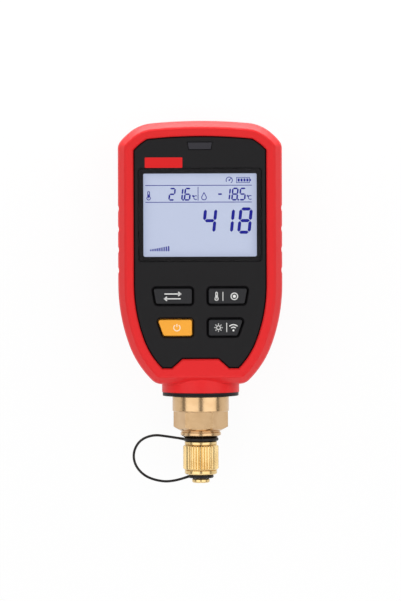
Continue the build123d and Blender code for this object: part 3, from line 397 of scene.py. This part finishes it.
finishes = {
    "red_elastomer": moulded(
        "red_elastomer", screen_colour(228, 31, 34), 0.42, 0.0004, 0.00001, 0.0006, gloss=0.25
    ),
    "black_plastic": moulded(
        "black_plastic", screen_colour(20, 19, 21), 0.5, 0.00025, 0.000012, 0.0002, gloss=0.2
    ),
    "key_plastic": moulded(
        "key_plastic", screen_colour(40, 40, 43), 0.55, 0.0004, 0.00004, 0.0003, depth=0.3
    ),
    "orange_plastic": moulded(
        "orange_plastic", screen_colour(248, 170, 54), 0.5, 0.0004, 0.00002, 0.0003
    ),
    "clear_window": clear_window(),
    "display_glass": display_glass(),
    "smoked_lens": moulded(
        "smoked_lens", screen_colour(58, 57, 62), 0.12, 0.001, 0.000002, 0.0002
    ),
    "diffuser": moulded("diffuser", screen_colour(238, 238, 240), 0.4, 0.0004, 0.000005, 0.0002),
    "circuit_board": moulded(
        "circuit_board", screen_colour(30, 92, 58), 0.35, 0.0006, 0.00001, 0.0001
    ),
    "shield_can": turned_metal(
        "shield_can", (0.7, 0.7, 0.68, 1.0), (0.6, 0.6, 0.58, 1.0), 0.25, 6000.0, 0.000002, 0.0002
    ),
    "spring_plate": turned_metal(
        "spring_plate", (0.75, 0.73, 0.68, 1.0), (0.65, 0.62, 0.56, 1.0), 0.2, 6000.0, 0.000002,
        0.0001,
    ),
    "black_steel": turned_metal(
        "black_steel", (0.09, 0.09, 0.09, 1.0), (0.06, 0.06, 0.06, 1.0), 0.3, 9000.0, 0.000003,
        0.0001,
    ),
    "ribbon_film": moulded("ribbon_film", screen_colour(190, 120, 40), 0.3, 0.0005, 0.000005, 0.0001),
    "brass": turned_metal("brass", brass_light, brass_deep, 0.16, 9000.0, 0.000004, 0.00025),
    "cap_brass": turned_metal(
        "cap_brass", yellow_brass_light, yellow_brass_deep, 0.16, 9000.0, 0.000004, 0.00015
    ),
    "sintered_bronze": turned_metal(
        "sintered_bronze", (0.5, 0.36, 0.2, 1.0), (0.38, 0.26, 0.14, 1.0), 0.5, 3000.0, 0.00002,
        0.0002,
    ),
    "key_rubber": moulded("key_rubber", screen_colour(80, 80, 84), 0.7, 0.0004, 0.00001, 0.0002),
    "black_rubber": moulded("black_rubber", screen_colour(26, 23, 22), 0.4, 0.0003, 0.000008, 0.0002),
    "tether_rubber": moulded(
        "tether_rubber", screen_colour(26, 22, 21), 0.4, 0.0003, 0.000008, 0.00015
    ),
    "cell_sleeve": moulded("cell_sleeve", screen_colour(70, 74, 84), 0.3, 0.0008, 0.000004, 0.0003),
    "border_print": printed("border_print", screen_colour(20, 19, 21)),
    "white_print": printed("white_print", screen_colour(228, 228, 226)),
    "pale_print": printed("pale_print", screen_colour(252, 232, 206)),
    "red_print": printed("red_print", screen_colour(222, 36, 38)),
    "display_marks": printed(
        "display_marks", screen_colour(6, 6, 36), 0.6, screen_colour(22, 26, 172)
    ),
}

for entry in record["subparts"]:
    node_mesh = nodes[entry["node"]].data
    node_mesh.materials.clear()
    node_mesh.materials.append(finishes[entry["material_slot"]])
nodes["flare_cap"].data.materials[0] = finishes["cap_brass"]


# Flat printed shapes, each given as a list of outlines in millimetres

def disc(x, y, radius, count=24):
    """A filled circle."""
    turns = [2 * math.pi * step / count for step in range(count)]
    return [[(x + radius * math.cos(turn), y + radius * math.sin(turn)) for turn in turns]]


def line(points, width, closed=False):
    """A line of even width along points, as one four-sided piece for each of its runs."""
    count = len(points)
    run_count = count if closed else count - 1
    sides = []
    for number in range(count):
        before = points[number - 1] if closed or number > 0 else None
        after = points[(number + 1) % count] if closed or number < count - 1 else None
        here = Vector(points[number])
        run_in = (here - Vector(before)).normalized() if before else None
        run_out = (Vector(after) - here).normalized() if after else None
        along = (run_in + run_out).normalized() if run_in and run_out else (run_in or run_out)
        turn = along.dot(run_out or run_in)
        sideways = Vector((-along.y, along.x)) * (width / 2 / max(turn, 0.5))
        sides.append((here + sideways, here - sideways))
    pieces = []
    for number in range(run_count):
        left, right = sides[number]
        next_left, next_right = sides[(number + 1) % count]
        pieces.append([right, next_right, next_left, left])
    return pieces


def arc(x, y, radius, start, end, width, count=16):
    """A line along part of a circle, between two angles in degrees."""
    angles = [math.radians(start + (end - start) * step / count) for step in range(count + 1)]
    points = [(x + radius * math.cos(angle), y + radius * math.sin(angle)) for angle in angles]
    return line(points, width)


def ring(x, y, radius, width, count=32):
    """A line round a whole circle."""
    angles = [2 * math.pi * step / count for step in range(count)]
    points = [(x + radius * math.cos(angle), y + radius * math.sin(angle)) for angle in angles]
    return line(points, width, closed=True)


def rounded_box(x, y, width, height, radius, count=6):
    """A filled rectangle with rounded corners."""
    corners = ((1, 1, 0), (-1, 1, 90), (-1, -1, 180), (1, -1, 270))
    outline = []
    for side_x, side_y, start in corners:
        middle_x = x + side_x * (width / 2 - radius)
        middle_y = y + side_y * (height / 2 - radius)
        for step in range(count + 1):
            angle = math.radians(start + 90 * step / count)
            outline.append((
                middle_x + radius * math.cos(angle),
                middle_y + radius * math.sin(angle),
            ))
    return [outline]


def rounded_frame(x, y, inner, outer, inner_radius, outer_radius):
    """A flat frame between two rounded rectangles, in four-sided pieces."""
    inside = rounded_box(x, y, *inner, inner_radius)[0]
    outside = rounded_box(x, y, *outer, outer_radius)[0]
    pieces = []
    for number in range(len(inside)):
        following = (number + 1) % len(inside)
        pieces.append([
            inside[number], inside[following], outside[following], outside[number]
        ])
    return pieces


def printed_piece(name, shapes, height, finish, body, ink=0.03 * MM):
    """One piece of print: flat shapes on the face at height, as thick as their ink."""
    mesh = bpy.data.meshes.new(name)
    build = bmesh.new()
    for outline in shapes:
        build.faces.new([build.verts.new((x * MM, y * MM, height)) for x, y in outline])
    bmesh.ops.recalc_face_normals(build, faces=build.faces)
    for face in build.faces:
        if face.normal.z < 0:
            face.normal_flip()
    build.to_mesh(mesh)
    build.free()
    piece = bpy.data.objects.new(name, mesh)
    bpy.context.scene.collection.objects.link(piece)
    mesh.materials.append(finishes[finish])
    thick = piece.modifiers.new("ink", "SOLIDIFY")
    thick.thickness = ink
    thick.offset = 1.0
    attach(piece, body)
    return piece


# Numbers of the display, made of seven slanted marks

digit_marks = {
    "0": "abcdef",
    "1": "bc",
    "2": "abged",
    "3": "abgcd",
    "4": "fgbc",
    "5": "afgcd",
    "6": "afgedc",
    "7": "abc",
    "8": "abcdefg",
    "9": "abcdfg",
}
slant = 0.1


def mark_outline(start, end, width, gap):
    """One long mark with pointed ends, between two corners of a number."""
    along = (end - start).normalized()
    sideways = Vector((-along.y, along.x)) * width / 2
    first = start + along * gap
    last = end - along * gap
    point = along * width / 2
    return [
        first,
        first + point - sideways,
        last - point - sideways,
        last,
        last - point + sideways,
        first + point + sideways,
    ]


def display_number(digit, left, foot, width, height, mark_width):
    """One number of the display, with its lower left corner at left and foot."""
    gap = mark_width * 0.12
    right = left + width
    middle = foot + height / 2
    top = foot + height
    ends = {
        "a": ((left, top), (right, top)),
        "b": ((right, top), (right, middle)),
        "c": ((right, middle), (right, foot)),
        "d": ((left, foot), (right, foot)),
        "e": ((left, foot), (left, middle)),
        "f": ((left, middle), (left, top)),
        "g": ((left, middle), (right, middle)),
    }
    shapes = []
    for mark in digit_marks[digit]:
        start, end = (Vector(corner) for corner in ends[mark])
        outline = mark_outline(start, end, mark_width, gap)
        shapes.append([(x + slant * (y - foot), y) for x, y in outline])
    return shapes


def display_reading(text, right, foot, width, height, pitch, mark_width):
    """A whole reading that ends at right. A dot takes no room of its own."""
    shapes = []
    left = right - width - slant * height
    for character in reversed(text):
        if character == ".":
            shapes += disc(left + width + (pitch - width) / 2, foot, mark_width * 0.6, 8)
        elif character == "-":
            middle = foot + height / 2
            dash_left = left + width * 0.25 + slant * height / 2
            shapes += line([(dash_left, middle), (dash_left + width * 0.7, middle)], mark_width)
            left -= pitch
        else:
            shapes += display_number(character, left, foot, width, height, mark_width)
            left -= pitch
    return shapes


def degrees_sign(left, foot, height):
    """The sign for degrees Celsius."""
    width = height * 0.17
    return ring(left + height * 0.14, foot + height * 0.86, height * 0.12, width) + arc(
        left + height * 0.72, foot + height * 0.5, height * 0.42, 50, 310, width
    )


def thermometer(x, foot, height, width):
    """A thermometer standing on its bulb."""
    bulb = height * 0.2
    stem_half = height * 0.1
    top = foot + height - stem_half
    return (
        ring(x, foot + bulb, bulb, width)
        + line([(x - stem_half, foot + 2 * bulb), (x - stem_half, top)], width)
        + line([(x + stem_half, foot + 2 * bulb), (x + stem_half, top)], width)
        + arc(x, top, stem_half, 0, 180, width)
        + line([(x, foot + bulb), (x, foot + height * 0.65)], width)
    )


def water_drop(x, foot, height, width):
    """A drop of water."""
    radius = height * 0.32
    middle = foot + radius
    return arc(x, middle, radius, 140, 400, width) + line(
        [
            (x - radius * 0.77, middle + radius * 0.64),
            (x, foot + height),
            (x + radius * 0.77, middle + radius * 0.64),
        ],
        width,
    )


def battery_sign(left, foot, width, height):
    """A battery with its bars."""
    bar_count = 4
    edge = 0.22
    middle = foot + height / 2
    shapes = line(
        [(left, foot), (left + width, foot), (left + width, foot + height), (left, foot + height)],
        edge,
        closed=True,
    )
    shapes += line([(left + width + 0.35, middle - 0.45), (left + width + 0.35, middle + 0.45)], 0.45)
    bar_pitch = (width - 0.5) / bar_count
    for number in range(bar_count):
        bar_x = left + 0.25 + bar_pitch * (number + 0.5)
        shapes += line([(bar_x, foot + 0.45), (bar_x, foot + height - 0.45)], bar_pitch * 0.68)
    return shapes


def gauge_sign(x, y, radius):
    """A round gauge with its needle."""
    return (
        arc(x, y, radius, -60, 210, 0.3)
        + line([(x - 0.1, y - 0.1), (x + radius * 0.6, y + radius * 0.6)], 0.34)
        + disc(x, y, 0.32, 12)
    )


def level_bars(left, foot, width, height):
    """A rising row of bars that shows the level of the reading."""
    bar_count = 9
    pitch = width / bar_count
    shapes = []
    for number in range(bar_count):
        bar_x = left + pitch * (number + 0.5)
        bar_height = height * (0.35 + 0.65 * number / (bar_count - 1))
        shapes += line([(bar_x, foot), (bar_x, foot + bar_height)], pitch * 0.6)
    return shapes


# Places on the display, in millimetres
rule_left, rule_right = -21.6, 20.5
upper_rule_y, lower_rule_y = 46.5, 39.85
divider_x = -0.75
small_foot, small_height, small_width, small_pitch = 40.75, 4.5, 2.0, 3.05
large_foot, large_height, large_width, large_pitch = 27.9, 9.2, 4.1, 7.0

display_shapes = (
    line([(rule_left, upper_rule_y), (rule_right, upper_rule_y)], 0.28)
    + line([(rule_left, lower_rule_y), (rule_right, lower_rule_y)], 0.28)
    + line([(divider_x, lower_rule_y + 0.6), (divider_x, upper_rule_y - 0.6)], 0.28)
    + gauge_sign(11.6, 48.5, 1.25)
    + battery_sign(14.5, 47.5, 5.1, 2.1)
    + thermometer(-20.3, small_foot, 3.4, 0.32)
    + display_reading("21.6", -3.7, small_foot, small_width, small_height, small_pitch, 0.62)
    + degrees_sign(-3.0, small_foot, 1.8)
    + water_drop(1.6, small_foot, 2.9, 0.32)
    + display_reading("-18.5", 18.1, small_foot, small_width, small_height, small_pitch, 0.62)
    + degrees_sign(18.6, small_foot, 1.8)
    + display_reading("418", 20.3, large_foot, large_width, large_height, large_pitch, 1.25)
    + level_bars(-20.0, 20.5, 8.0, 2.0)
)
printed_piece(
    "display_marks", display_shapes, glass_face, "display_marks", "root"
)
printed_piece(
    "face_plate", rounded_box(-14.3, 55.3, 14.8, 4.1, 0.3), panel_face, "red_print",
    "root",
)

# Black border printed behind the window, which rounds the corners of the lit area
window_low, window_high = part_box("display_window")
window_x = (window_low.x + window_high.x) / 2 / MM
window_y = (window_low.y + window_high.y) / 2 / MM
window_width = (window_high.x - window_low.x) / MM
window_height = (window_high.y - window_low.y) / MM
border_width = 2.0
printed_piece(
    "window_border",
    rounded_frame(
        window_x, window_y,
        (window_width - 2 * border_width, window_height - 2 * border_width),
        (window_width - 0.2, window_height - 0.2),
        0.8, 1.4,
    ),
    window_low.z + 0.005 * MM, "border_print", "root",
)


# Symbols on the keys

def swap_arrows(x, y, length, gap, width):
    """Two arrows that point opposite ways, for a change of unit."""
    shapes = []
    for side in (1, -1):
        row_y = y + side * gap / 2
        tip = x + side * length / 2
        tail = x - side * length / 2
        head = 1.0
        shapes += line([(tail, row_y), (tip - side * 0.1, row_y)], width)
        shapes += line(
            [(tip - side * head, row_y + head * 0.8), (tip, row_y), (tip - side * head, row_y - head * 0.8)],
            width,
        )
    return shapes


def power_sign(x, y, radius, width):
    """The ring and stroke of a power key."""
    return arc(x, y, radius, -235, 55, width, 28) + line([(x, y + radius * 0.25), (x, y + radius * 1.15)], width)


def sun_sign(x, y, radius, width):
    """A lamp with its rays."""
    ray_count = 8
    shapes = ring(x, y, radius * 0.45, width)
    for number in range(ray_count):
        turn = 2 * math.pi * number / ray_count
        direction = Vector((math.cos(turn), math.sin(turn)))
        middle = Vector((x, y))
        shapes += line([middle + direction * radius * 0.68, middle + direction * radius], width)
    return shapes


def signal_sign(x, foot, width):
    """Three arcs of a radio signal over its dot."""
    shapes = disc(x, foot, width * 0.95, 12)
    for radius in (1.25, 2.25):
        shapes += arc(x, foot, radius, 45, 135, width)
    return shapes


key_symbols = {
    "unit": (swap_arrows(-10.9, 2.6, 6.4, 1.9, 0.42), "white_print"),
    "record": (
        thermometer(6.4, 1.0, 3.2, 0.3)
        + line([(8.9, 0.8), (8.9, 4.3)], 0.28)
        + ring(13.4, 2.55, 1.3, 0.36)
        + disc(13.4, 2.55, 0.62),
        "white_print",
    ),
    "power": (power_sign(-9.25, -9.75, 1.25, 0.36), "pale_print"),
    "light": (
        sun_sign(7.1, -9.75, 1.65, 0.28)
        + line([(10.35, -11.5), (10.35, -7.9)], 0.28)
        + signal_sign(13.0, -10.85, 0.42),
        "white_print",
    ),
}
for key, (shapes, finish) in key_symbols.items():
    printed_piece(f"{key}_symbol", shapes, key_face, finish, f"{key}_button")


# The tether: a smooth cord between the ring on the port and the ring on the cap's stud

tether_diameter = 1.0 * MM
tether_route = [
    (-0.00867, -0.05436, 0.0175),
    (-0.01322, -0.05364, 0.0175),
    (-0.0190, -0.0529, 0.0172),
    (-0.0243, -0.0549, 0.0168),
    (-0.0271, -0.0594, 0.0164),
    (-0.0269, -0.0643, 0.0164),
    (-0.0239, -0.0686, 0.0168),
    (-0.0191, -0.0711, 0.0172),
    (-0.01201, -0.07204, 0.0175),
    (-0.00659, -0.07028, 0.0175),
]


def smooth_line(route):
    """The points of a smooth line whose control points are the route's."""
    curve = bpy.data.curves.new("tether_line", "CURVE")
    curve.dimensions = "3D"
    curve.resolution_u = 12
    spline = curve.splines.new("NURBS")
    spline.points.add(len(route) - 1)
    for point, place in zip(spline.points, route):
        point.co = (*place, 1.0)
    spline.order_u = 3
    spline.use_endpoint_u = True
    guide = bpy.data.objects.new("tether_line", curve)
    bpy.context.scene.collection.objects.link(guide)
    bpy.context.view_layer.update()
    mesh = bpy.data.meshes.new_from_object(guide)
    points = [vertex.co.copy() for vertex in mesh.vertices]
    bpy.data.objects.remove(guide)
    bpy.data.meshes.remove(mesh)
    return points


def cord_mesh(name, points, radius, sides=16):
    """A closed round tube along points."""
    build = bmesh.new()
    rings = []
    across = Vector((0, 0, 1))
    for number, point in enumerate(points):
        before = points[max(number - 1, 0)]
        after = points[min(number + 1, len(points) - 1)]
        along = (after - before).normalized()
        across = (across - along * across.dot(along)).normalized()
        beside = along.cross(across)
        rings.append([
            build.verts.new(
                point
                + (across * math.cos(turn) + beside * math.sin(turn)) * radius
            )
            for turn in (2 * math.pi * side / sides for side in range(sides))
        ])
    for ring_here, ring_next in zip(rings, rings[1:]):
        for side in range(sides):
            following = (side + 1) % sides
            face = build.faces.new((
                ring_here[side], ring_here[following], ring_next[following], ring_next[side]
            ))
            face.smooth = True
    build.faces.new(rings[0])
    build.faces.new(rings[-1])
    bmesh.ops.recalc_face_normals(build, faces=build.faces)
    mesh = bpy.data.meshes.new(name)
    build.to_mesh(mesh)
    build.free()
    return mesh


def make_tether():
    """The cord of the tether, made along its route in place of the model's own cord."""
    points = smooth_line(tether_route)
    mesh = cord_mesh("tether", points, tether_diameter / 2)
    mesh.materials.append(finishes["tether_rubber"])
    tether = bpy.data.objects.new("tether", mesh)
    bpy.context.scene.collection.objects.link(tether)
    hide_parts("tether_cord")
    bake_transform(tether)
    return tether


make_tether()


# The thread of the port, cut into a copy of it

thread_pitch = 25.4 / 20 * MM
thread_radius = 5.556 * MM
thread_depth = 0.72 * MM


def thread_cut(phase):
    """How deep the thread is at a place along its pitch, as a share of its depth."""
    crest_share = 0.16
    root_share = 0.2
    distance = abs(phase % 1 - 0.5) * 2
    rising = (distance - root_share) / (1 - root_share - crest_share)
    return 1 - min(max(rising, 0), 1)


def make_threaded_port():
    """The brass port with a real thread in place of its plain cylinder."""
    mesh = nodes["port_fitting"].data.copy()
    mesh.name = "threaded_port"
    build = bmesh.new()
    build.from_mesh(mesh)

    def on_thread(vertex):
        across = Vector((vertex.co.x, vertex.co.z - port_axis_z))
        return abs(across.length - thread_radius) < 0.02 * MM

    plain = [face for face in build.faces if all(on_thread(vertex) for vertex in face.verts)]
    ends = [vertex.co.y for face in plain for vertex in face.verts]
    bmesh.ops.delete(build, geom=plain, context="FACES")
    start_y, end_y = max(ends), min(ends)
    columns = 72
    rows = round((start_y - end_y) / thread_pitch * 14)
    grid = []
    for row in range(rows + 1):
        y = start_y + (end_y - start_y) * row / rows
        near_end = min(start_y - y, y - end_y) / (thread_pitch * 0.7)
        ramp = min(near_end, 1)
        ring_here = []
        for column in range(columns):
            turn = 2 * math.pi * column / columns
            phase = y / thread_pitch - turn / (2 * math.pi)
            radius = thread_radius - thread_depth * thread_cut(phase) * ramp
            place = (radius * math.sin(turn), y, port_axis_z + radius * math.cos(turn))
            ring_here.append(build.verts.new(place))
        grid.append(ring_here)
    for ring_here, ring_next in zip(grid, grid[1:]):
        for column in range(columns):
            following = (column + 1) % columns
            face = build.faces.new((
                ring_here[column], ring_here[following], ring_next[following], ring_next[column]
            ))
            face.smooth = True
            out = Vector((face.calc_center_median().x, 0, face.calc_center_median().z - port_axis_z))
            face.normal_update()
            if face.normal.dot(out) < 0:
                face.normal_flip()
    build.to_mesh(mesh)
    build.free()
    port = bpy.data.objects.new("threaded_port", mesh)
    bpy.context.scene.collection.objects.link(port)
    mesh.materials.clear()
    mesh.materials.append(finishes["brass"])
    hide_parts("port_fitting")
    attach(port, "root")
    return port


make_threaded_port()


# Studio: white paper, two long soft boxes with a gap between them, and low lights at both ends

def white_paper():
    """White paper that keeps a faint shadow of the gauge."""
    material, shader, add, link = new_finish("white_paper")
    shader.inputs["Base Color"].default_value = (0.9, 0.9, 0.9, 1.0)
    shader.inputs["Roughness"].default_value = 0.9
    path = add("ShaderNodeLightPath")
    seen = add("ShaderNodeMath")
    seen.operation = "MAXIMUM"
    link(path.outputs["Is Camera Ray"], seen.inputs[0])
    link(path.outputs["Is Glossy Ray"], seen.inputs[1])
    seen_through = add("ShaderNodeMath")
    seen_through.operation = "MAXIMUM"
    link(seen.outputs[0], seen_through.inputs[0])
    link(path.outputs["Is Transmission Ray"], seen_through.inputs[1])
    share = add("ShaderNodeMath")
    share.operation = "MULTIPLY"
    share.inputs[1].default_value = 0.93
    link(seen_through.outputs[0], share.inputs[0])
    paper = add("ShaderNodeEmission")
    paper.inputs["Color"].default_value = (1.0, 1.0, 1.0, 1.0)
    choice = add("ShaderNodeMixShader")
    link(share.outputs[0], choice.inputs["Fac"])
    link(shader.outputs[0], choice.inputs[1])
    link(paper.outputs[0], choice.inputs[2])
    link(choice.outputs[0], material.node_tree.nodes["Material Output"].inputs["Surface"])
    return material


def make_white_sweep():
    """White paper under the gauge, raised along its far edges as a backdrop for low views."""
    reach = 8.0
    rise = 1.3
    corners = ((-reach, -reach), (reach, -reach), (reach, reach), (-reach, reach))
    points = [(x, y, 0) for x, y in corners] + [(x, y, rise) for x, y in corners]
    faces = [(0, 1, 2, 3)]
    for number in range(4):
        following = (number + 1) % 4
        faces.append((following, number, number + 4, following + 4))
    mesh = bpy.data.meshes.new("white_sweep")
    mesh.from_pydata(points, [], faces)
    mesh.materials.append(white_paper())
    sweep = bpy.data.objects.new("white_sweep", mesh)
    sweep.location.z = cad_low.z - 0.1 * MM
    bpy.context.scene.collection.objects.link(sweep)


def soft_box(name, tilt, turn, distance, width, height, power):
    """A rectangular light that faces the gauge, tilt degrees from straight above, turned about Z."""
    light = bpy.data.lights.new(name, "AREA")
    light.shape = "RECTANGLE"
    light.size = width
    light.size_y = height
    light.energy = power
    lamp = bpy.data.objects.new(name, light)
    lean = math.radians(tilt)
    around = math.radians(turn)
    direction = Vector((
        math.sin(lean) * math.cos(around),
        math.sin(lean) * math.sin(around),
        math.cos(lean),
    ))
    lamp.location = Vector((0, 0, port_axis_z)) + direction * distance
    lamp.rotation_euler = direction.to_track_quat("Z", "Y").to_euler()
    bpy.context.scene.collection.objects.link(lamp)
    return lamp


make_white_sweep()
soft_box("left_box", 35.5, 180, 0.7, 1.0, 0.76, 3.3)
soft_box("right_box", 37.4, 0, 0.7, 1.0, 0.763, 3.4)
soft_box("foot_box", 62, -90, 0.7, 0.5, 0.3, 0.9)
soft_box("crown_box", 93, 90, 0.16, 0.2, 0.035, 0.35)


def make_studio_room():
    """The dim and even room round the lights."""
    world = bpy.data.worlds.new("studio")
    bpy.context.scene.world = world
    world.use_nodes = True
    background = world.node_tree.nodes["Background"]
    background.inputs["Color"].default_value = (1.0, 1.0, 1.0, 1.0)
    background.inputs["Strength"].default_value = 0.22


make_studio_room()

# Camera, straight above the gauge
camera_distance = 0.85
camera_roll = -0.2
camera_data = bpy.data.cameras.new("camera")
camera_data.sensor_width = 36
camera_data.lens = 126.7
camera = bpy.data.objects.new("camera", camera_data)
camera.location = (0.07 * MM, 0.95 * MM, port_axis_z + camera_distance)
camera.rotation_euler = (0, 0, math.radians(camera_roll))
bpy.context.scene.collection.objects.link(camera)
bpy.context.scene.camera = camera
bpy.context.scene.view_settings.view_transform = "Standard"
